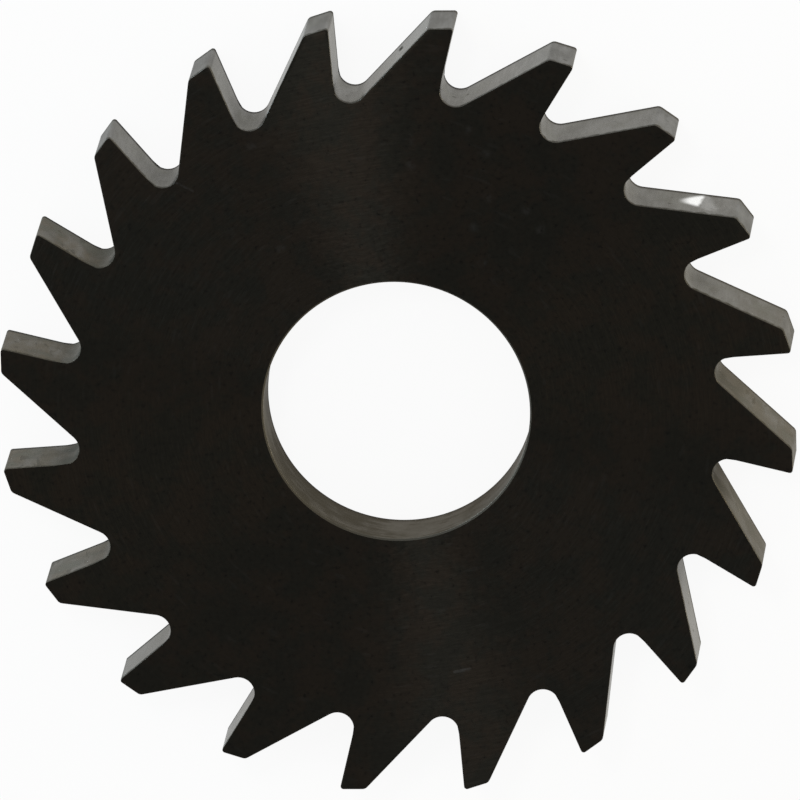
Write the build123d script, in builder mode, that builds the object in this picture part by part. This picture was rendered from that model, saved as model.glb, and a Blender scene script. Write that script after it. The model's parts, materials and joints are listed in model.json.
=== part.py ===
from build123d import *
import os
from math import radians, tan

# A slitting saw: one flat toothed disc, ground on both sides, with a plain round bore.
# Lengths are in millimetres and angles in degrees.
# The bore's axis is +Z, the blade lies flat with its lower tooth corners at z = 0,
# and one tooth tip is on +X. Seen from above, the teeth point and cut clockwise.

# Blade
outside_diameter = 19.05
bore_diameter = 6.35
rim_thickness = 1.70

# Teeth
tooth_count = 20
rake_angle = 4.5            # face leans back from the radius, so the tip leads
land_width = 0.61           # narrow flat behind the cutting edge
land_relief_angle = 9.5     # land falls away from the tangent at the tip
back_angle = 56.0           # straight back falls away from the same tangent
gullet_radius = 0.386       # round root between a back and the next tooth's face

# Ground sides and bore
side_clearance_angle = 0.25  # each side is hollow ground, thinnest at the clamping land
clamping_land_diameter = 11.0
bore_edge_break = 0.04       # small bevel at each end of the bore

tip_radius = outside_diameter / 2
bore_radius = bore_diameter / 2
clamping_land_radius = clamping_land_diameter / 2
mid_height = rim_thickness / 2
tooth_pitch = 360 / tooth_count
side_slope = tan(radians(side_clearance_angle))
hollow_depth = (tip_radius - clamping_land_radius) * side_slope

# The blank is wider than the finished blade, so that the tooth outline trims it all round.
blank_stock = 0.5
blank_radius = tip_radius + blank_stock


# Outline of one tooth space, from one tip to the next: land, back, then the next face.
with BuildLine() as tooth_space:
    first_tip = Vector(tip_radius, 0)
    next_tip = first_tip.rotate(Axis.Z, tooth_pitch)
    land = PolarLine(first_tip, land_width, angle=90 + land_relief_angle)
    face_line = PolarLine(
        next_tip,
        tip_radius,
        angle=tooth_pitch + 180 - rake_angle,
        mode=Mode.PRIVATE,
    )
    back = PolarLine(land @ 1, face_line, angle=90 + back_angle)
    Line(back @ 1, next_tip)


with BuildPart() as slitting_saw:
    # Turned blank: bore with its broken edges, flat clamping lands and hollow ground sides.
    with BuildSketch(Plane.XZ) as half_section:
        with BuildLine():
            lower_half = Polyline(
                (bore_radius, mid_height),
                (bore_radius, hollow_depth + bore_edge_break),
                (bore_radius + bore_edge_break, hollow_depth),
                (clamping_land_radius, hollow_depth),
                (blank_radius, -blank_stock * side_slope),
                (blank_radius, mid_height),
            )
            mirror(lower_half, about=Plane.XZ.offset(-mid_height))
        make_face()
    revolve(axis=Axis.Z)

    # Toothed outline: the tooth space repeated round the axis, with rounded gullets.
    with BuildSketch(Plane.XY.offset(mid_height)) as toothed_outline:
        with BuildLine():
            with PolarLocations(0, tooth_count):
                add(tooth_space.line)
        make_face()
        gullet_roots = toothed_outline.vertices().group_by(SortBy.DISTANCE)[0]
        fillet(gullet_roots, radius=gullet_radius)
    extrude(amount=rim_thickness, both=True, mode=Mode.INTERSECT)

slitting_saw.part.label = "slitting_saw"

os.makedirs("parts", exist_ok=True)
export_step(slitting_saw.part, "parts/slitting_saw.step")
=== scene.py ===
"""Slitting saw: a ground and blackened toothed disc, dressed and lit as in its photograph.

The blade lies flat with its axis on +Z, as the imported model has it. Its visible surface is one
closed grid: columns run once round the axis through every tooth, and rows run once round the
section, from the bore over the upper side to the teeth and back along the lower side. Lengths
are in metres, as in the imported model, and each finish works in millimetres on the surface.
"""

import json
import logging
from dataclasses import dataclass, field
from enum import IntEnum
from functools import reduce
from math import cos, pi, radians, sin
from operator import or_
from typing import Any, Iterable, Protocol, Union

import bpy
import numpy as np
from mathutils import Matrix, Vector


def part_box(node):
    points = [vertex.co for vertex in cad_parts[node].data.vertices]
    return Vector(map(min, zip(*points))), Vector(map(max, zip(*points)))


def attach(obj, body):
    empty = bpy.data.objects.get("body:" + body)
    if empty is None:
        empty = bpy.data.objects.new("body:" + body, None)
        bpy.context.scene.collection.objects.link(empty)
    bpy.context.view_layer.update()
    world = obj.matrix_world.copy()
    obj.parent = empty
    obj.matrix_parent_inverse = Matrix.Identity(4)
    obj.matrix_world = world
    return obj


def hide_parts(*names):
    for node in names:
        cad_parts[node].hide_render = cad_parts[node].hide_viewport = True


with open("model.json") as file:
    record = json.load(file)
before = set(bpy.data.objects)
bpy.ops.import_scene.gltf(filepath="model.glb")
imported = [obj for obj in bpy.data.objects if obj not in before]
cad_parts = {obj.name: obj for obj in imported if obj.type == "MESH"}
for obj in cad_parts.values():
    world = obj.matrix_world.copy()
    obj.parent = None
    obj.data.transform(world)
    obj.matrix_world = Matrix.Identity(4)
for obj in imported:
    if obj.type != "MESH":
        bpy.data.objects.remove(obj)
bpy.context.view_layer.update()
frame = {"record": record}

MM = 0.001
NODE = "slitting_saw"

log = logging.getLogger("slitting_saw")


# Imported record


def mount(name: str) -> dict[str, Any]:
    """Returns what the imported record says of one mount."""
    return next(each for each in frame["record"]["mounts"] if each["name"] == name)


# Blade


class Zone(IntEnum):
    """Parts of the surface that are finished apart, in the order of the material slots."""

    BORE = 0
    SIDE = 1
    TOOTH = 2


@dataclass(frozen=True)
class ToothForm:
    """Outline of the teeth, seen from above, where they point clockwise.

    A point (x, y) is held as the complex number x + iy, so that turning by an angle is a product.
    The steps are how many faces run along the land, back and face, and round the arcs of the
    heel, gullet and tip.
    """

    tip_radius: float
    count: int = 20
    rake: float = radians(4.5)
    land_width: float = 0.61 * MM
    land_relief: float = radians(9.5)
    back_angle: float = radians(56)
    gullet_radius: float = 0.386 * MM
    heel_radius: float = 0.16 * MM
    tip_corner_radius: float = 0.07 * MM
    line_steps: tuple[int, int, int] = (4, 12, 8)
    arc_steps: tuple[int, int, int] = (4, 14, 4)

    @property
    def pitch(self) -> float:
        """Angle from one tooth to the next."""
        return 2 * pi / self.count

    def corners(self) -> np.ndarray:
        """Works out the sharp corners that one tooth space runs through.

        The land falls from the tip at the relief angle and the back falls from its heel at the
        back angle, both from the tangent at the tip. The next tooth's face runs in from its own
        tip at the rake angle to the radius, and the root is where back and face lines meet.

        Returns:
            Tip, heel, root, next tip and next heel.
        """
        turn = np.exp(1j * self.pitch)
        tip = self.tip_radius + 0j
        heel = tip + self.land_width * 1j * np.exp(1j * self.land_relief)
        back = 1j * np.exp(1j * self.back_angle)
        face = -turn * np.exp(-1j * self.rake)
        reach = np.imag(np.conj(face) * (tip * turn - heel)) / np.imag(np.conj(face) * back)
        return np.array([tip, heel, heel + reach * back, tip * turn, heel * turn])

    def space(self) -> tuple[np.ndarray, np.ndarray]:
        """Samples one tooth space: land, heel, back, gullet, face and the next tip.

        Each corner becomes an arc that touches both of its lines. The arc begins at the corner
        less its radius times the tangent of half the turn, and its points turn about its centre.

        Returns:
            The points, and the outward direction at each.
        """
        corner = self.corners()
        leg = np.diff(corner)
        leg = leg / abs(leg)
        turn = np.angle(leg[1:] / leg[:-1])
        radius = np.array([self.heel_radius, self.gullet_radius, self.tip_corner_radius])
        reach = radius * np.tan(abs(turn) / 2)
        start = corner[1:-1] - leg[:-1] * reach
        end = corner[1:-1] + leg[1:] * reach
        centre = start + np.sign(turn) * radius * 1j * leg[:-1]
        before = np.r_[end[-1] * np.exp(-1j * self.pitch), end[:-1]]
        points, outward = [], []
        for i, (lines, arcs) in enumerate(zip(self.line_steps, self.arc_steps)):
            share = np.arange(lines) / lines
            points.append(before[i] + share * (start[i] - before[i]))
            outward.append(np.full(lines, -1j * leg[i]))
            sweep = np.exp(1j * turn[i] * np.arange(arcs) / arcs)
            points.append(centre[i] + (start[i] - centre[i]) * sweep)
            outward.append(-1j * leg[i] * sweep)
        return np.concatenate(points), np.concatenate(outward)

    def outline(self) -> tuple[np.ndarray, np.ndarray]:
        """Repeats the tooth space round the axis.

        Returns:
            The points of the whole outline, counterclockwise, and the outward directions.
        """
        points, outward = self.space()
        turns = np.exp(1j * self.pitch * np.arange(self.count))[:, None]
        return (turns * points).ravel(), (turns * outward).ravel()


@dataclass(frozen=True)
class Section:
    """Heights and radii of the blade's section, from the bore to the rim."""

    thickness: float
    tip_radius: float
    bore_radius: float
    hollow_depth: float
    clamping_radius: float = 5.5 * MM
    edge_break: float = 0.04 * MM
    rim_break: float = 0.01 * MM

    def upper(self, radius: np.ndarray) -> np.ndarray:
        """Height of the upper side, hollow ground from the rim to the flat clamping land.

        Args:
            radius: distances from the axis.

        Returns:
            The full thickness at the tips, less a fall in proportion to the distance inwards,
            which stops at the clamping land's edge.
        """
        ground_width = self.tip_radius - self.clamping_radius
        inwards = np.clip((self.tip_radius - radius) / ground_width, 0, 1)
        return self.thickness - self.hollow_depth * inwards

    def lower(self, radius: np.ndarray) -> np.ndarray:
        """Height of the lower side, the upper one mirrored."""
        return self.thickness - self.upper(radius)

    def rounding(self, angle: float) -> tuple[float, float]:
        """Rounds the rim's edges by a quarter circle.

        Args:
            angle: how far round the quarter circle a point is, from the side to the wall.

        Returns:
            How far the point lies inside the outline, which is the circle's radius times one
            less the sine, and below its side, which is the radius times one less the cosine.
        """
        return self.rim_break * (1 - sin(angle)), self.rim_break * (1 - cos(angle))


class Finish(Protocol):
    """A finish that a zone of the blade is dressed in."""

    def material(self) -> bpy.types.Material:
        """Makes the finish's material."""


@dataclass
class Blade:
    """The whole saw, built as one closed grid of rows and columns.

    The root ring is a circle below the gullets, where the columns begin to lean to the teeth.
    """

    form: ToothForm
    section: Section
    root_ring: float = 7.25 * MM
    lead: float = radians(5.4)
    bore_steps: int = 8
    land_steps: int = 4
    hollow_steps: int = 5
    tooth_steps: int = 10
    break_steps: int = 3
    wall_steps: int = 12
    sharp_angle: float = radians(30)
    rows: list[tuple[np.ndarray, np.ndarray]] = field(default_factory=list)
    zones: list[Zone] = field(default_factory=list)

    def add_row(self, place: np.ndarray, height: np.ndarray | float, zone: Zone) -> None:
        """Adds one row of points.

        Args:
            place: where the points are, seen from above, as complex numbers.
            height: their heights, or the one that they share.
            zone: the finish of the faces between this row and the next one.
        """
        self.rows.append((place, np.broadcast_to(height, place.shape)))
        self.zones.append(zone)

    def directions(self, outline: np.ndarray) -> np.ndarray:
        """Spreads the columns round a circle.

        A column's angle grows with the length of outline before it, plus a small lead, so that
        the lines from the circle to the leaning teeth don't cross.

        Args:
            outline: the points of the whole outline.

        Returns:
            Unit directions as complex numbers, one for each column.
        """
        step = abs(np.roll(outline, -1) - outline)
        share = (np.cumsum(step) - step) / step.sum()
        return np.exp(1j * (2 * pi * share + self.lead))

    def build_side(self, outline: np.ndarray, outward: np.ndarray, upper: bool) -> None:
        """Adds the rows of one side, from the bore to the rim or back.

        Circles widen from the bore's edge over the clamping land to a ring below the gullets.
        From there to the rim a point goes in a straight line from the ring to the outline.

        Args:
            outline: the points of the whole outline.
            outward: the outward directions there.
            upper: whether this is the upper side, which runs outwards.
        """
        cut = self.section
        round_axis = self.directions(outline)
        bore_edge = cut.bore_radius + cut.edge_break
        radii = np.r_[
            np.linspace(bore_edge, cut.clamping_radius, self.land_steps, endpoint=False),
            np.linspace(cut.clamping_radius, self.root_ring, self.hollow_steps, endpoint=False),
        ]
        places = [radius * round_axis for radius in radii]
        inset = outline - outward * cut.rim_break
        ring = self.root_ring * round_axis
        shares = np.linspace(0, 1, self.tooth_steps + 1)
        places += [ring + (inset - ring) * share for share in shares]
        surface = cut.upper if upper else cut.lower
        order = places if upper else places[::-1]
        last = len(order) - 1
        for i, place in enumerate(order):
            at_rim = upper and i == last
            self.add_row(place, surface(abs(place)), Zone.TOOTH if at_rim else Zone.SIDE)

    def build_wall(self, outline: np.ndarray, outward: np.ndarray) -> None:
        """Adds the rows of the tooth walls, from the upper side down to the lower one.

        Both edges are rounded. Between them a point's height goes evenly from the upper one to
        the lower one.

        Args:
            outline: the points of the whole outline.
            outward: the outward directions there.
        """
        cut = self.section
        top, bottom = cut.upper(abs(outline)), cut.lower(abs(outline))
        angles = np.linspace(0, pi / 2, self.break_steps + 1)
        for inset, drop in map(cut.rounding, angles[1:]):
            self.add_row(outline - outward * inset, top - drop, Zone.TOOTH)
        for share in np.linspace(0, 1, self.wall_steps + 1)[1:-1]:
            height = (top - cut.rim_break) * (1 - share) + (bottom + cut.rim_break) * share
            self.add_row(outline, height, Zone.TOOTH)
        for inset, drop in map(cut.rounding, angles[:0:-1]):
            self.add_row(outline - outward * inset, bottom + drop, Zone.TOOTH)

    def build_bore(self, outline: np.ndarray) -> None:
        """Adds the rows of the bore's wall, from its lower bevel up to its upper one.

        Args:
            outline: the points of the whole outline.
        """
        cut = self.section
        wall = cut.bore_radius * self.directions(outline)
        low = cut.lower(np.array(cut.bore_radius)) + cut.edge_break
        high = cut.upper(np.array(cut.bore_radius)) - cut.edge_break
        for height in np.linspace(low, high, self.bore_steps + 1):
            self.add_row(wall, height, Zone.BORE)

    def mesh(self) -> bpy.types.Mesh:
        """Joins every row to the next, and the last to the first, with four-cornered faces.

        Returns:
            The closed mesh, each face holding the material index of its zone.
        """
        outline, outward = self.form.outline()
        self.build_bore(outline)
        self.build_side(outline, outward, upper=True)
        self.build_wall(outline, outward)
        self.build_side(outline, outward, upper=False)
        place = np.array([row[0] for row in self.rows])
        height = np.array([row[1] for row in self.rows])
        points = np.stack([place.real, place.imag, height], axis=-1).reshape(-1, 3)
        index = np.arange(place.size).reshape(place.shape)
        next_row, next_column = np.roll(index, -1, axis=0), np.roll(index, -1, axis=1)
        across = np.roll(next_row, -1, axis=1)
        faces = np.stack([index, next_row, across, next_column], axis=-1).reshape(-1, 4)
        mesh = bpy.data.meshes.new("blade")
        mesh.from_pydata(points, [], faces)
        mesh.polygons.foreach_set("material_index", np.repeat(self.zones, place.shape[1]))
        mesh.polygons.foreach_set("use_smooth", np.ones(len(faces), bool))
        mesh.set_sharp_from_angle(angle=self.sharp_angle)
        mesh.update()
        return mesh

    def make(self, finishes: dict[Zone, Finish]) -> bpy.types.Object:
        """Builds the blade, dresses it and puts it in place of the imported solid.

        Args:
            finishes: the finish of each zone.

        Returns:
            The finished piece.
        """
        piece = bpy.data.objects.new("blade", self.mesh())
        bpy.context.scene.collection.objects.link(piece)
        for zone in Zone:
            piece.data.materials.append(finishes[zone].material())
        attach(piece, "root")
        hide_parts(NODE)
        log.info("blade: %d faces in %d rows", len(piece.data.polygons), len(self.rows))
        return piece


# Shader graphs

Socket = bpy.types.NodeSocket
Triple = tuple[float, float, float]
Span = tuple[float, float]


@dataclass(frozen=True)
class Signal:
    """One number that varies over a surface: a socket with arithmetic."""

    graph: "ShaderGraph"
    socket: Socket

    def combine(self, operation: str, *values: "Number") -> "Signal":
        """Adds a Math node.

        Args:
            operation: the node's operation.
            values: its inputs in order.

        Returns:
            The node's result.
        """
        inputs = dict(enumerate(values))
        return self.graph.signal("ShaderNodeMath", {"operation": operation}, inputs)

    def __add__(self, other: "Number") -> "Signal":
        """Sum."""
        return self.combine("ADD", self, other)

    def __sub__(self, other: "Number") -> "Signal":
        """Difference."""
        return self.combine("SUBTRACT", self, other)

    def __rsub__(self, other: "Number") -> "Signal":
        """Difference with a plain number first."""
        return self.combine("SUBTRACT", other, self)

    def __mul__(self, other: "Number") -> "Signal":
        """Product."""
        return self.combine("MULTIPLY", self, other)

    def __truediv__(self, other: "Number") -> "Signal":
        """Quotient."""
        return self.combine("DIVIDE", self, other)

    def __rtruediv__(self, other: "Number") -> "Signal":
        """Quotient of a plain number."""
        return self.combine("DIVIDE", other, self)

    def __pow__(self, other: "Number") -> "Signal":
        """Power."""
        return self.combine("POWER", self, other)

    def __rpow__(self, other: "Number") -> "Signal":
        """Power of a plain number."""
        return self.combine("POWER", other, self)

    def __or__(self, other: "Number") -> "Signal":
        """The larger of the two, which joins masks."""
        return self.combine("MAXIMUM", self, other)

    # A sum, a product and a maximum are the same with a plain number first
    __radd__ = __add__
    __rmul__ = __mul__
    __ror__ = __or__

    def __abs__(self) -> "Signal":
        """Size without the sign."""
        return self.combine("ABSOLUTE", self)

    def rise(self, low: float, high: float) -> "Signal":
        """Rises smoothly from 0 where this is low to 1 where it is high."""
        inputs = {"Value": self, "From Min": low, "From Max": high}
        return self.graph.signal("ShaderNodeMapRange", {"interpolation_type": "SMOOTHSTEP"}, inputs)

    def fall(self, low: float, high: float) -> "Signal":
        """Falls smoothly from 1 where this is low to 0 where it is high."""
        return 1 - self.rise(low, high)

    def between(self, low: float, high: float) -> "Signal":
        """Goes evenly from low where this is 0 to high where it is 1."""
        return low + self * (high - low)


Number = Union[Signal, float]
SocketOrTriple = Union[Socket, Triple]


class ShaderGraph:
    """The node tree of a material or a world, with the kinds of node that the finishes share.

    The numbers are the places of a Mix node's sockets for colours.
    """

    MIX_FACTOR, MIX_FIRST, MIX_SECOND, MIX_RESULT = 0, 6, 7, 2

    def __init__(self, owner: bpy.types.Material | bpy.types.World) -> None:
        """Empties the owner's node tree.

        Args:
            owner: the material or world that the nodes belong to.
        """
        owner.use_nodes = True
        self.owner = owner
        self.tree = owner.node_tree
        self.tree.nodes.clear()

    def add(
        self,
        kind: str,
        settings: dict[str, Any] | None = None,
        inputs: dict[str | int, Any] | None = None,
    ) -> bpy.types.Node:
        """Adds a node.

        Args:
            kind: the node's type.
            settings: its properties, set first.
            inputs: a value, a signal or another node's socket for each named input.

        Returns:
            The node.
        """
        node = self.tree.nodes.new(kind)
        for name, setting in (settings or {}).items():
            setattr(node, name, setting)
        for key, given in (inputs or {}).items():
            source = given.socket if isinstance(given, Signal) else given
            if isinstance(source, Socket):
                self.tree.links.new(source, node.inputs[key])
            elif node.inputs[key].type == "RGBA":
                node.inputs[key].default_value = (*source, 1)
            else:
                node.inputs[key].default_value = source
        return node

    def signal(self, kind: str, settings: dict[str, Any], inputs: dict[str | int, Any]) -> Signal:
        """Adds a node and returns its first output as a signal."""
        return Signal(self, self.add(kind, settings, inputs).outputs[0])

    def vector(self, operation: str, *vectors: SocketOrTriple) -> bpy.types.Node:
        """Adds a Vector Math node.

        Args:
            operation: the node's operation.
            vectors: its inputs in order.

        Returns:
            The node.
        """
        return self.add("ShaderNodeVectorMath", {"operation": operation}, dict(enumerate(vectors)))

    def place(self, stretch: Triple = (1, 1, 1)) -> Socket:
        """Reads the place on the piece.

        Args:
            stretch: what each axis is multiplied by.

        Returns:
            The place in millimetres.
        """
        coordinates = self.add("ShaderNodeTexCoord").outputs["Object"]
        scale = tuple(each / MM for each in stretch)
        return self.add("ShaderNodeMapping", {}, {"Vector": coordinates, "Scale": scale}).outputs[0]

    def split(self, vector: Socket) -> list[Signal]:
        """Returns the three parts of a vector."""
        node = self.add("ShaderNodeSeparateXYZ", {}, {0: vector})
        return [Signal(self, output) for output in node.outputs]

    def join(self, x: Number, y: Number, z: Number) -> Socket:
        """Returns the vector that has these three parts."""
        return self.add("ShaderNodeCombineXYZ", {}, {0: x, 1: y, 2: z}).outputs[0]

    def radius(self, place: Socket) -> Signal:
        """Returns how far a place lies from the blade's axis."""
        x, y, _ = self.split(place)
        return (x * x + y * y) ** 0.5

    def noise(
        self, vector: Socket, scale: float, detail: float = 2.0, roughness: float = 0.5
    ) -> Signal:
        """Adds soft noise that keeps to about 0.3 to 0.7.

        Args:
            vector: where it is read.
            scale: lumps to a unit of the vector.
            detail: how many finer layers are added.
            roughness: how strong each finer layer is beside the one before.

        Returns:
            The noise.
        """
        inputs = {"Vector": vector, "Scale": scale, "Detail": detail, "Roughness": roughness}
        return self.signal("ShaderNodeTexNoise", {}, inputs)

    def tint(self, factor: Number, first: SocketOrTriple, second: SocketOrTriple) -> Socket:
        """Returns a colour that goes from first to second as the factor goes from 0 to 1."""
        inputs = {self.MIX_FACTOR: factor, self.MIX_FIRST: first, self.MIX_SECOND: second}
        return self.add("ShaderNodeMix", {"data_type": "RGBA"}, inputs).outputs[self.MIX_RESULT]

    def relief(self, height: Signal, depth: float) -> Socket:
        """Returns the normal of a relief that goes from 0 to the depth, in millimetres."""
        inputs = {"Height": height, "Strength": 1.0, "Distance": depth * MM}
        return self.add("ShaderNodeBump", {}, inputs).outputs[0]

    def metal(self, inputs: dict[str, Any]) -> Socket:
        """Returns bare metal, given what differs from the Principled shader's own inputs."""
        return self.add("ShaderNodeBsdfPrincipled", {}, {"Metallic": 1.0, **inputs}).outputs[0]

    def matt(self, colour: Triple) -> Socket:
        """Returns a matt surface of one colour."""
        return self.add("ShaderNodeBsdfDiffuse", {}, {"Color": colour}).outputs[0]

    def over(self, share: Number, below: Socket, above: Socket) -> Socket:
        """Lays one surface over another.

        Args:
            share: how far the upper surface hides the lower one.
            below: the lower surface.
            above: the upper surface.

        Returns:
            The mixed surface.
        """
        return self.add("ShaderNodeMixShader", {}, {0: share, 1: below, 2: above}).outputs[0]

    def finished(self, surface: Socket) -> bpy.types.Material | bpy.types.World:
        """Ends the graph in a surface.

        Args:
            surface: the whole surface, or the background of a world.

        Returns:
            The material or the world.
        """
        is_world = isinstance(self.owner, bpy.types.World)
        output = "ShaderNodeOutputWorld" if is_world else "ShaderNodeOutputMaterial"
        self.add(output, {}, {0: surface})
        return self.owner


# Marks and grain


class Mark(Protocol):
    """Something that shows on part of a surface. Its lengths are in millimetres."""

    def mask(self, graph: ShaderGraph, place: Socket) -> Signal:
        """Returns 1 on the mark and 0 outside it."""


def joined(marks: Iterable[Mark], graph: ShaderGraph, place: Socket) -> Signal:
    """Joins the masks of several marks into one."""
    return reduce(or_, (mark.mask(graph, place) for mark in marks))


@dataclass(frozen=True)
class Patch:
    """A soft-edged round patch."""

    centre: Triple
    reach: float
    core: float = 0.0

    def mask(self, graph: ShaderGraph, place: Socket) -> Signal:
        """Returns 1 in the patch's core and 0 past its reach."""
        distance = Signal(graph, graph.vector("DISTANCE", place, self.centre).outputs["Value"])
        return distance.fall(self.core, self.reach)


@dataclass(frozen=True)
class Scratch:
    """A straight scratch between two points, at full strength over a share of its width."""

    start: Triple
    end: Triple
    half_width: float
    core_share: float = 0.3

    def mask(self, graph: ShaderGraph, place: Socket) -> Signal:
        """Works out where the scratch is.

        The share of the way along is the offset from the start, dotted with the whole run and
        divided by the run's squared length. It is held to 0 to 1, and the distance to the point
        at that share gives the mask.

        Args:
            graph: the material's graph.
            place: the place in millimetres.

        Returns:
            1 along the scratch's core and 0 past its half width.
        """
        run = Vector(self.end) - Vector(self.start)
        offset = graph.vector("SUBTRACT", place, self.start).outputs[0]
        along = Signal(graph, graph.vector("DOT_PRODUCT", offset, tuple(run)).outputs["Value"])
        limits = {"Value": along, "From Max": run.length_squared}
        share = graph.signal("ShaderNodeMapRange", {}, limits)
        travel = graph.join(*(share * each for each in run))
        distance = Signal(graph, graph.vector("DISTANCE", offset, travel).outputs["Value"])
        return distance.fall(self.half_width * self.core_share, self.half_width)


@dataclass(frozen=True)
class Wedge:
    """A painted highlight: a glint on a wall, drawn as a mark which widens from its point.

    The bearing is the direction along the wall, from the point to the wide end. Sides, start
    and end are the ranges of shares of the way along over which the mark fades there.
    """

    point: Triple
    bearing: float
    length: float
    width: float
    drift: float
    slant: float
    thickness: float = 0.3
    sides: Span = (-0.2, 0.35)
    start: Span = (0.15, 0.7)
    end: Span = (0.88, 1.06)

    def mask(self, graph: ShaderGraph, place: Socket) -> Signal:
        """Works out where the mark is.

        At a share of the way along, the mark reaches as far up and down from its middle line as
        that share of half its width, and the middle line drifts by that share of its drift. The
        wide end slants: it comes later by the slant for each millimetre down.

        Args:
            graph: the material's graph.
            place: the place in millimetres.

        Returns:
            1 well inside the mark and 0 outside it.
        """
        x, y, z = graph.split(graph.vector("SUBTRACT", place, self.point).outputs[0])
        share = (x * cos(self.bearing) + y * sin(self.bearing)) / self.length
        away = abs(y * cos(self.bearing) - x * sin(self.bearing))
        height = abs(z - share * self.drift) / (self.width / 2)
        inside = (share - height).rise(*self.sides) * share.rise(*self.start)
        short_of_end = (share + z * self.slant).fall(*self.end)
        return inside * short_of_end * away.fall(self.thickness / 2, self.thickness)


@dataclass(frozen=True)
class Specks:
    """Small scattered round spots of uneven strength, one to a cell at most."""

    cells_per_mm: float
    radius: float
    share: float
    soft_share: float = 0.01
    core_share: float = 0.4

    def mask(self, graph: ShaderGraph, place: Socket) -> Signal:
        """Works out where the spots are.

        Each cell draws a strength and a chance, and holds a spot where its chance is under the
        share. The spot's radius is a share of the cell's width.

        Args:
            graph: the material's graph.
            place: the place in millimetres.

        Returns:
            The strength of the spots, 0 between them.
        """
        inputs = {"Vector": place, "Scale": self.cells_per_mm}
        cells = graph.add("ShaderNodeTexVoronoi", {}, inputs).outputs
        chance, strength, _ = graph.split(cells["Color"])
        spot = Signal(graph, cells["Distance"]).fall(self.radius * self.core_share, self.radius)
        return spot * strength * chance.fall(self.share, self.share + self.soft_share)


@dataclass(frozen=True)
class Warp:
    """An uneven shift of places, so that marks read there get ragged outlines.

    The scale is lumps to a unit of the place, and the reach is about twice the largest shift.
    """

    scale: float
    reach: float

    def shifted(self, graph: ShaderGraph, place: Socket) -> Socket:
        """Shifts a place by coloured noise, less its middle value, times the reach.

        Args:
            graph: the material's graph.
            place: the place.

        Returns:
            The shifted place.
        """
        inputs = {"Vector": place, "Scale": self.scale, "Detail": 2.0}
        noise = graph.add("ShaderNodeTexNoise", {}, inputs).outputs["Color"]
        centred = graph.vector("SUBTRACT", noise, (0.5, 0.5, 0.5)).outputs[0]
        shift = graph.vector("MULTIPLY", centred, (self.reach, self.reach, self.reach)).outputs[0]
        return graph.vector("ADD", place, shift).outputs[0]


@dataclass(frozen=True)
class Grain:
    """Soft noise all over a piece.

    The scale is lumps to a millimetre, and a stretch under 1 draws them out along that axis.
    """

    scale: float
    detail: float = 2.0
    roughness: float = 0.5
    stretch: Triple = (1, 1, 1)
    warp: Warp | None = None

    def read(self, graph: ShaderGraph) -> Signal:
        """Adds the noise at each place on the piece, shifted by the warp if there is one.

        Args:
            graph: the material's graph.

        Returns:
            The noise.
        """
        place = graph.place(self.stretch)
        if self.warp:
            place = self.warp.shifted(graph, place)
        return graph.noise(place, self.scale, self.detail, self.roughness)


@dataclass(frozen=True)
class Rings:
    """Noise in short rings round the axis: rings to a millimetre, and breaks to a radian."""

    per_mm: float
    breaks: float
    detail: float = 0.0

    def read(self, graph: ShaderGraph) -> Signal:
        """Adds noise that is read at the radius and at the direction from the axis.

        Args:
            graph: the material's graph.

        Returns:
            The noise.
        """
        place = graph.place()
        x, y, _ = graph.split(place)
        radius = graph.radius(place)
        turned = graph.join(
            radius * self.per_mm, x / radius * self.breaks, y / radius * self.breaks
        )
        return graph.noise(turned, scale=1.0, detail=self.detail)


# Finishes


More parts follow.
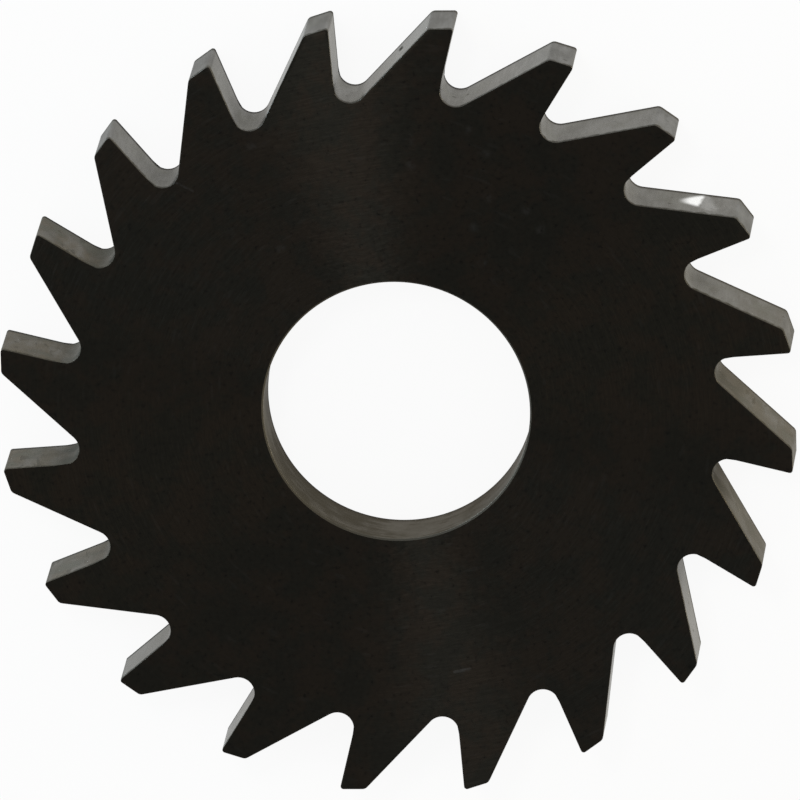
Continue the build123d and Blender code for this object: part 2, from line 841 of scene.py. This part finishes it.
@dataclass(frozen=True)
class BlackenedSide:
    """Side ground in fine rings and then blackened, which leaves a low sheen.

    Lengths are in millimetres. A few worn smudges, two short scratches and some short bright
    grinding marks show paler steel.
    """

    # Blackening
    brown_black: Triple = (0.0136, 0.0113, 0.0088)
    green_black: Triple = (0.012, 0.0115, 0.0093)
    matt_black: Triple = (0.004, 0.004, 0.004)
    grazing: Triple = (0.45, 0.45, 0.45)
    hue: Grain = Grain(scale=1.0, detail=4.0, roughness=0.7)
    hue_contrast: Span = (0.4, 0.6)
    grain: Grain = Grain(scale=9.0)
    shade_contrast: Span = (0.35, 0.65)
    shade_strength: float = 0.24
    pore_tone: Span = (0.6, 0.8)
    pore_strength: float = 0.5
    roughness: Span = (0.38, 0.44)

    # Grinding
    grinding: Rings = Rings(per_mm=14.0, breaks=15.0, detail=1.0)
    ripples: Rings = Rings(per_mm=4.0, breaks=6.0, detail=1.0)
    groove_depth: float = 0.01
    anisotropy: float = 0.97
    groove_turn: float = 0.25

    # Wear
    worn: Triple = (0.03, 0.0295, 0.028)
    bright_rings: Rings = Rings(per_mm=9.0, breaks=12.0)
    bright_tone: Span = (0.68, 0.85)
    bright_strength: float = 0.1
    side_height: float = 1.69
    smudges: tuple[tuple[float, float], ...] = (
        (1.48, 6.55), (2.89, 6.59), (3.19, 5.96), (3.06, 4.85), (2.59, 4.18), (-2.05, 4.36),
        (-2.3, 6.95), (1.35, 5.9), (2.62, 3.3), (4.13, 3.89), (3.88, 4.39),
    )
    smudge_reach: float = 0.16
    smudge_strength: float = 0.34
    smudge_warp: Warp = Warp(scale=6.0, reach=0.2)
    scratches: tuple[Scratch, ...] = (
        Scratch((0.27, -6.58, 1.69), (0.64, -6.57, 1.69), 0.055),
        Scratch((-4.2, 6.33, 1.69), (-3.85, 6.08, 1.69), 0.04),
    )
    scratch_strength: float = 0.55
    rubbing: Grain = Grain(scale=8.0)
    rubbed_tone: Span = (0.25, 0.6)

    def wear(self, graph: ShaderGraph) -> Signal:
        """Joins the smudges and scratches of the upper side.

        Args:
            graph: the material's graph.

        Returns:
            How far the paler steel shows through.
        """
        place = graph.place()
        smudges = [Patch((*centre, self.side_height), self.smudge_reach) for centre in self.smudges]
        smudged = joined(smudges, graph, self.smudge_warp.shifted(graph, place))
        scratched = joined(self.scratches, graph, place)
        worn = smudged * self.smudge_strength | scratched * self.scratch_strength
        return worn * self.rubbing.read(graph).rise(*self.rubbed_tone)

    def material(self) -> bpy.types.Material:
        """Makes the material.

        The grinding marks run in short rings over broader ripples, and their sides catch the
        sheen. The few strongest of another set are rubbed bright.

        Returns:
            The finished material.
        """
        graph = ShaderGraph(bpy.data.materials.new("blackened_side"))
        hue, grain = self.hue.read(graph), self.grain.read(graph)
        tone = graph.tint(hue.rise(*self.hue_contrast), self.brown_black, self.green_black)
        shade = ((grain + hue) / 2).rise(*self.shade_contrast) * self.shade_strength
        black = graph.tint(shade, tone, self.matt_black)
        bright = self.bright_rings.read(graph).rise(*self.bright_tone) * self.bright_strength
        grooves = self.grinding.read(graph) + self.ripples.read(graph)
        bare = graph.metal(
            {
                "Base Color": graph.tint(self.wear(graph) | bright, black, self.worn),
                "Specular Tint": self.grazing,
                "Roughness": hue.between(*self.roughness),
                "Anisotropic": self.anisotropy,
                "Anisotropic Rotation": self.groove_turn,
                "Normal": graph.relief(grooves, self.groove_depth),
            }
        )
        pores = grain.rise(*self.pore_tone) * self.pore_strength
        return graph.finished(graph.over(pores, bare, graph.matt(self.matt_black)))


@dataclass(frozen=True)
class ToothSurface:
    """What the finish of the teeth reads at each place, shared by its layers.

    Uneven and ragged are the place, shifted further and less far.
    """

    graph: ShaderGraph
    place: Socket
    uneven: Socket
    ragged: Socket
    marks: Signal
    mottle: Signal
    stain: Signal
    aged: Signal


@dataclass(frozen=True)
class GroundTooth:
    """Bare grey steel of the teeth and gullets, ground straight across.

    Lengths are in millimetres. The lands are sharpened apart, a little rougher than the rest,
    which is darkened and dulled by a thin film. The film is thinner on the teeth at the top, so
    that their walls come out lighter, and grime with painted shade lies in the gullets, most of
    all between the brown teeth. A painted glint and streak lie on one tooth's wall, and painted
    shade lies along the lower edges next to the floor.
    """

    # Steel: fine marks run up the walls, because their noise is drawn out along the axis
    dark: Triple = (0.2, 0.197, 0.189)
    light: Triple = (0.31, 0.307, 0.298)
    marks: Grain = Grain(scale=12.0, detail=3.0, stretch=(1, 1, 0.12))
    mottle: Grain = Grain(scale=2.3, detail=4.0, roughness=0.6, stretch=(1, 1, 0.35))
    marks_share: float = 0.3
    contrast: Span = (0.36, 0.64)

    # Age: brown and olive tones
    brown: Triple = (0.165, 0.134, 0.088)
    brown_tone: Span = (0.35, 0.7)
    brown_strength: Span = (0.4, 1.0)
    brown_patches: tuple[Patch, ...] = (
        Patch((-8.6, 1.6, 0.85), 6.2, 4.2),
        Patch((8.1, -2.4, 0.85), 4.6, 1.6),
    )
    olive: Triple = (0.19, 0.195, 0.152)
    stain: Grain = Grain(scale=1.3, detail=3.0)
    olive_tone: Span = (0.5, 0.64)
    olive_strength: Span = (0.2, 0.7)

    # Lands
    fresh: Triple = (0.47, 0.465, 0.448)
    freshness: float = 0.25
    land_grazing: Triple = (0.38, 0.377, 0.365)
    land_roughness: Span = (0.25, 0.45)
    land_scratch_depth: float = 0.0022
    land_start: Span = (9.38, 9.44)

    # Walls
    oxide: Triple = (0.05, 0.046, 0.038)
    film: float = 0.26
    # Less film on the walls of the teeth at the top, which come out lighter
    lighter_top_teeth: Patch = Patch((1.2, 7.9, 0.85), reach=6.0, core=3.0)
    grazing: Triple = (0.56, 0.553, 0.53)
    roughness: Span = (0.15, 0.35)
    scratch_depth: float = 0.0012
    satin: Triple = (0.4, 0.39, 0.375)
    dullness: float = 0.09

    # Painted highlight: a glint drawn as a white polished mark, and a faint painted streak beside
    # it
    painted_highlight: Triple = (1.0, 1.0, 0.98)
    painted_highlight_roughness: float = 0.25
    painted_glint: Wedge = Wedge(
        point=(7.25, 3.925, 0.84),
        bearing=radians(-16),
        length=0.7,
        width=1.05,
        drift=-0.2,
        slant=0.15,
    )
    painted_streak: Scratch = Scratch((7.95, 3.72, 0.2), (8.14, 3.67, 1.2), half_width=0.24)
    painted_streak_strength: float = 0.12

    # Blackening over the edges, and painted shade along the lower edge next to the floor, in
    # heights
    lower_lap_and_shade: Span = (0.06, 0.24)
    upper_lap: Span = (1.532, 1.7)
    rounded_edge: Span = (1.67, 1.685)
    lap_strength: float = 0.9

    # Dirt
    uneven: Warp = Warp(scale=6.0, reach=0.3)
    ragged: Warp = Warp(scale=5.0, reach=0.08)
    specks: Specks = Specks(cells_per_mm=3.2, radius=0.2, share=0.3)
    speck_strength: float = 0.7
    blots: Grain = Grain(scale=5.0, detail=3.0, stretch=(1, 1, 0.35), warp=Warp(5.0, 0.2))
    blot_tone: Span = (0.52, 0.68)
    blot_strength: float = 0.55
    pit: Scratch = Scratch((1.49, 8.48, 0.52), (1.54, 8.52, 0.78), half_width=0.1)
    pit_strength: float = 0.9

    # Tarnish, and grime with painted shade in the gullets, by distance from the axis
    tarnish_tone: Span = (0.4, 0.6)
    tarnish_strength: Span = (0.2, 0.38)
    stained_patches: tuple[Patch, ...] = (
        Patch((7.6, -3.9, 0.85), 2.0, 1.1),
        Patch((-2.42, 7.42, 0.85), 1.1, 0.4),
        Patch((-4.56, 6.33, 0.85), 1.0, 0.2),
        Patch((-7.8, 0, 0.85), 1.3, 0.7),
        Patch((7.54, 1.99, 0.85), 0.9, 0.2),
    )
    stained_strength: float = 0.2
    gullet_grime_and_shade_reach: Span = (7.7, 8.5)
    gullet_grime_and_shade_strength: Span = (0.08, 0.28)

    def surface(self, graph: ShaderGraph) -> ToothSurface:
        """Adds what the layers share.

        Args:
            graph: the material's graph.

        Returns:
            The places, the noises and how far the steel is aged.
        """
        place = graph.place()
        return ToothSurface(
            graph=graph,
            place=place,
            uneven=self.uneven.shifted(graph, place),
            ragged=self.ragged.shifted(graph, place),
            marks=self.marks.read(graph),
            mottle=self.mottle.read(graph),
            stain=self.stain.read(graph),
            aged=joined(self.brown_patches, graph, place),
        )

    def steel(self, seen: ToothSurface) -> Socket:
        """Mixes lumps of lighter and darker steel, browner and greener where it is aged.

        Args:
            seen: what the layers share.

        Returns:
            The steel's colour.
        """
        shade = seen.marks * self.marks_share + seen.mottle * (1 - self.marks_share)
        steel = seen.graph.tint(shade.rise(*self.contrast), self.dark, self.light)
        brown = seen.aged * seen.mottle.fall(*self.brown_tone).between(*self.brown_strength)
        olive = seen.stain.rise(*self.olive_tone) * seen.aged.between(*self.olive_strength)
        return seen.graph.tint(olive, seen.graph.tint(brown, steel, self.brown), self.olive)

    def relief(self, seen: ToothSurface, depth: float) -> Socket:
        """Returns the normal of the marks and the mottle, as deep as is given."""
        return seen.graph.relief(seen.marks + seen.mottle, depth)

    def bare(self, seen: ToothSurface) -> Socket:
        """Makes the freshly ground lands, and the duller walls under their film.

        Args:
            seen: what the layers share.

        Returns:
            The steel without dirt.
        """
        graph, steel = seen.graph, self.steel(seen)
        land = graph.metal(
            {
                "Base Color": graph.tint(self.freshness, steel, self.fresh),
                "Specular Tint": self.land_grazing,
                "Roughness": seen.mottle.between(*self.land_roughness),
                "Normal": self.relief(seen, self.land_scratch_depth),
            }
        )
        film = (1 - self.lighter_top_teeth.mask(graph, seen.place)) * self.film
        wall = graph.metal(
            {
                "Base Color": graph.tint(film, steel, self.oxide),
                "Specular Tint": self.grazing,
                "Roughness": seen.mottle.between(*self.roughness),
                "Normal": self.relief(seen, self.scratch_depth),
            }
        )
        dulled = graph.over(self.dullness, wall, graph.matt(self.satin))
        return graph.over(graph.radius(seen.place).rise(*self.land_start), dulled, land)

    def lapped_and_shaded(self, seen: ToothSurface) -> Signal:
        """Laps the blackening over both edges, unevenly over the upper one, and paints shade along
        the lower edge next to the floor.

        Args:
            seen: what the layers share.

        Returns:
            How far it covers the steel.
        """
        height = seen.graph.split(seen.place)[2]
        uneven_height = seen.graph.split(seen.uneven)[2]
        upper = uneven_height.rise(*self.upper_lap) | height.rise(*self.rounded_edge)
        # The lower lap is blackening and painted shade where the wall meets the floor
        return (height.fall(*self.lower_lap_and_shade) | upper) * self.lap_strength

    def dirt(self, seen: ToothSurface) -> Signal:
        """Joins the specks, the blots on aged steel and the pit.

        Args:
            seen: what the layers share.

        Returns:
            How far they cover the steel.
        """
        specks = self.specks.mask(seen.graph, seen.uneven) * self.speck_strength
        blots = self.blots.read(seen.graph).rise(*self.blot_tone) * seen.aged * self.blot_strength
        return specks | blots | self.pit.mask(seen.graph, seen.ragged) * self.pit_strength

    def tarnish(self, seen: ToothSurface) -> Signal:
        """Adds up the tarnish of aged steel, the stained patches, and the grime with painted shade
        in the gullets.

        Args:
            seen: what the layers share.

        Returns:
            How far they cover the steel.
        """
        graph, place = seen.graph, seen.place
        aged = seen.aged * seen.stain.rise(*self.tarnish_tone).between(*self.tarnish_strength)
        stained = joined(self.stained_patches, graph, place) * self.stained_strength
        # Grime and painted shade deepen towards the gullets' roots
        in_gullet = graph.radius(place).fall(*self.gullet_grime_and_shade_reach)
        return aged + stained + in_gullet * seen.aged.between(*self.gullet_grime_and_shade_strength)

    def material(self) -> bpy.types.Material:
        """Makes the material: bare steel, the painted glint and streak on it, and what covers it.

        Returns:
            The finished material.
        """
        graph = ShaderGraph(bpy.data.materials.new("ground_tooth"))
        seen = self.surface(graph)
        # Painted highlight: a glint and a faint streak beside it, drawn as white polished steel
        painted_streak = self.painted_streak.mask(graph, seen.uneven) * self.painted_streak_strength
        bright = self.painted_glint.mask(graph, seen.ragged) | painted_streak
        painted_highlight = graph.metal(
            {
                "Base Color": self.painted_highlight,
                "Roughness": self.painted_highlight_roughness,
                "Normal": self.relief(seen, self.scratch_depth),
            }
        )
        polished = graph.over(bright, self.bare(seen), painted_highlight)
        covered = self.lapped_and_shaded(seen) | self.dirt(seen) * (1 - bright) | self.tarnish(seen)
        return graph.finished(graph.over(covered, polished, graph.matt(self.oxide)))


@dataclass(frozen=True)
class BoredSteel:
    """Brown-grey steel of the bore, turned in fine rings.

    Lengths are in millimetres.
    """

    # Steel: its rings are noise drawn out across the axis, so that they run round the bore
    dark: Triple = (0.142, 0.133, 0.116)
    light: Triple = (0.212, 0.2, 0.179)
    grazing: Triple = (0.27, 0.262, 0.245)
    rings: Grain = Grain(scale=7.0, detail=3.0, stretch=(0.15, 0.15, 1))
    mottle: Grain = Grain(scale=1.8, detail=4.0, roughness=0.6)
    contrast: Span = (0.36, 0.64)
    roughness: Span = (0.325, 0.475)
    ring_depth: float = 0.001

    # Shading: a painted highlight in one pale patch, one stained patch, and the steel lighter
    # towards the top
    painted_bore_highlight: Patch = Patch((-0.5, -3.13, 0.85), reach=1.3, core=0.3)
    painted_bore_highlight_strength: float = 0.12
    stained: Patch = Patch((-2.2, -2.3, 0.85), reach=2.6, core=0.9)
    stained_strength: float = 0.1
    top: float = 1.65
    upward_shade: Span = (-0.03, 0.03)

    # Blackening over the lower edge and the upper bevel, and painted shade along the lower edge
    # next to the floor, in heights
    oxide: Triple = (0.05, 0.046, 0.038)
    lower_lap_and_shade: Span = (0, 0.32)
    lower_lap_and_shade_strength: float = 0.7
    upper_lap: Span = (1.63, 1.65)

    def material(self) -> bpy.types.Material:
        """Makes the material.

        Returns:
            The finished material.
        """
        graph = ShaderGraph(bpy.data.materials.new("bored_steel"))
        place = graph.place()
        height = graph.split(place)[2]
        rings, mottle = self.rings.read(graph), self.mottle.read(graph)
        # Painted highlight: the pale patch lightens part of the bore's wall
        painted_bore_highlight = self.painted_bore_highlight.mask(graph, place) * self.painted_bore_highlight_strength
        stained = self.stained.mask(graph, place) * self.stained_strength
        upwards = (height / self.top).between(*self.upward_shade)
        shade = (rings + mottle) / 2 + painted_bore_highlight - stained + upwards
        bare = graph.metal(
            {
                "Base Color": graph.tint(shade.rise(*self.contrast), self.dark, self.light),
                "Specular Tint": self.grazing,
                "Roughness": mottle.between(*self.roughness),
                "Normal": graph.relief(rings, self.ring_depth),
            }
        )
        # The lower lap is blackening and painted shade where the bore's wall meets the floor
        lower = height.fall(*self.lower_lap_and_shade) * self.lower_lap_and_shade_strength
        lapped_and_shaded = lower | height.rise(*self.upper_lap)
        return graph.finished(graph.over(lapped_and_shaded, bare, graph.matt(self.oxide)))


# Studio


def lean(bearing: float, tilt: float) -> Vector:
    """Returns the direction that leans from +Z by the tilt, towards a bearing from +X."""
    return Vector((sin(tilt) * cos(bearing), sin(tilt) * sin(bearing), cos(tilt)))


@dataclass(frozen=True)
class SoftBox:
    """A rectangular area lamp that looks at the blade's centre.

    Its level is the brightness that it alone gives to a white matt surface facing it. It is a
    long strip, low at one side, unless its other sizes are given.
    """

    name: str
    bearing: float
    level: float
    colour: Triple = (1, 1, 1)
    tilt: float = radians(85)
    distance: float = 140 * MM
    width: float = 130 * MM
    height: float = 22 * MM

    def make(self, target: Vector) -> bpy.types.Object:
        """Places the lamp.

        An area lamp's power is pi squared times its level times the distance squared.

        Args:
            target: where it points.

        Returns:
            The lamp.
        """
        data = bpy.data.lights.new(self.name, "AREA")
        data.shape = "RECTANGLE"
        data.size = self.width
        data.size_y = self.height
        data.color = self.colour
        data.energy = pi**2 * self.level * self.distance**2
        lamp = bpy.data.objects.new(self.name, data)
        away = lean(self.bearing, self.tilt)
        lamp.location = target + away * self.distance
        lamp.rotation_mode = "QUATERNION"
        lamp.rotation_quaternion = away.to_track_quat("Z", "Y")
        bpy.context.scene.collection.objects.link(lamp)
        return lamp


@dataclass(frozen=True)
class Studio:
    """Pale floor, white surroundings, a soft key lamp above and a strip lamp at each side."""

    lamps: tuple[SoftBox, ...] = (
        SoftBox(
            "key",
            bearing=radians(105.75),
            level=0.19,
            tilt=radians(30),
            distance=120 * MM,
            width=26 * MM,
            height=26 * MM,
        ),
        SoftBox("warm_fill", bearing=radians(-4), level=1.02, colour=(1, 0.9, 0.62)),
        SoftBox("cool_fill", bearing=radians(146), level=1.25, colour=(0.7, 0.88, 1)),
    )
    floor_half_side: float = 1.5
    floor_colour: Triple = (0.88, 0.88, 0.88)
    floor_glow: float = 0.92
    ambient: float = 0.55

    @staticmethod
    def seen_directly(graph: ShaderGraph) -> Signal:
        """Picks the rays that show the background: straight, mirrored or through glass.

        Args:
            graph: the material's or the world's graph.

        Returns:
            1 for such a ray and 0 for the others.
        """
        rays = graph.add("ShaderNodeLightPath").outputs
        camera, glossy, through = (
            Signal(graph, rays[f"Is {kind} Ray"]) for kind in ("Camera", "Glossy", "Transmission")
        )
        return camera | glossy | through

    def floor(self) -> bpy.types.Object:
        """Lays the floor: matt, and partly white by itself where it is seen directly.

        Returns:
            The floor.
        """
        graph = ShaderGraph(bpy.data.materials.new("floor"))
        white = graph.add("ShaderNodeEmission", {}, {"Strength": 1.0}).outputs[0]
        share = self.seen_directly(graph) * self.floor_glow
        graph.finished(graph.over(share, graph.matt(self.floor_colour), white))
        half = self.floor_half_side
        corners = [(-half, -half, 0), (half, -half, 0), (half, half, 0), (-half, half, 0)]
        mesh = bpy.data.meshes.new("floor")
        mesh.from_pydata(corners, [], [(0, 1, 2, 3)])
        mesh.materials.append(graph.owner)
        floor = bpy.data.objects.new("floor", mesh)
        bpy.context.scene.collection.objects.link(floor)
        return floor

    def surroundings(self) -> None:
        """Makes the world white where it is seen and a plain level where it lights."""
        graph = ShaderGraph(bpy.data.worlds.new("surroundings"))
        strength = self.ambient + self.seen_directly(graph) * (1 - self.ambient)
        back = graph.add("ShaderNodeBackground", {}, {"Color": (1, 1, 1), "Strength": strength})
        bpy.context.scene.world = graph.finished(back.outputs[0])

    def make(self, target: Vector) -> None:
        """Sets up floor, surroundings and lamps.

        Args:
            target: where the lamps point.
        """
        self.floor()
        self.surroundings()
        for lamp in self.lamps:
            lamp.make(target)
            log.info("lamp: %s at level %.2f", lamp.name, lamp.level)


@dataclass(frozen=True)
class PhotoCamera:
    """The photograph's view: from above, leaning a little off the blade's axis.

    Bearings are angles from +X in the blade's plane. The upright bearing is the direction on the
    blade that points straight up in the picture. The camera aims at a point of the upper side,
    and sees what lies between the nearest and the farthest share of its distance. Focal length
    and sensor width are in millimetres.
    """

    tilt: float = radians(16.76)
    bearing: float = radians(66.49)
    upright: float = radians(80.17)
    distance: float = 484.6 * MM
    aim: tuple[float, float] = (0.134 * MM, 0.262 * MM)
    nearest: float = 0.1
    farthest: float = 10.0
    focal_length: float = 919.0
    sensor_width: float = 36.0

    def make(self, height: float) -> bpy.types.Object:
        """Places the camera and makes it the scene's own.

        Args:
            height: height of the side that it aims at.

        Returns:
            The camera.
        """
        data = bpy.data.cameras.new("photo_camera")
        data.lens = self.focal_length
        data.sensor_width = self.sensor_width
        data.clip_start = self.nearest * self.distance
        data.clip_end = self.farthest * self.distance
        camera = bpy.data.objects.new("photo_camera", data)
        back = lean(self.bearing, self.tilt)
        upright = Vector((cos(self.upright), sin(self.upright), 0))
        right = upright.cross(back).normalized()
        turn = Matrix((right, back.cross(right), back)).transposed()
        place = Vector((*self.aim, height)) + back * self.distance
        camera.matrix_world = Matrix.Translation(place) @ turn.to_4x4()
        bpy.context.scene.collection.objects.link(camera)
        bpy.context.scene.camera = camera
        return camera


def main() -> None:
    """Builds the blade, the studio and the camera."""
    logging.basicConfig(level=logging.INFO, format="%(name)s: %(message)s")
    low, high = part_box(NODE)
    section = Section(
        thickness=high[2] - low[2],
        tip_radius=high[0],
        bore_radius=mount("bore")["dims"]["r_mm"] * MM,
        hollow_depth=mount("lower_clamping_face")["pos_m"][2],
    )
    finishes = {Zone.BORE: BoredSteel(), Zone.SIDE: BlackenedSide(), Zone.TOOTH: GroundTooth()}
    Blade(ToothForm(section.tip_radius), section).make(finishes)
    Studio().make(target=Vector((0, 0, section.thickness / 2)))
    PhotoCamera().make(height=section.thickness)
    bpy.context.scene.view_settings.view_transform = "Standard"


if __name__ == "__main__":
    main()
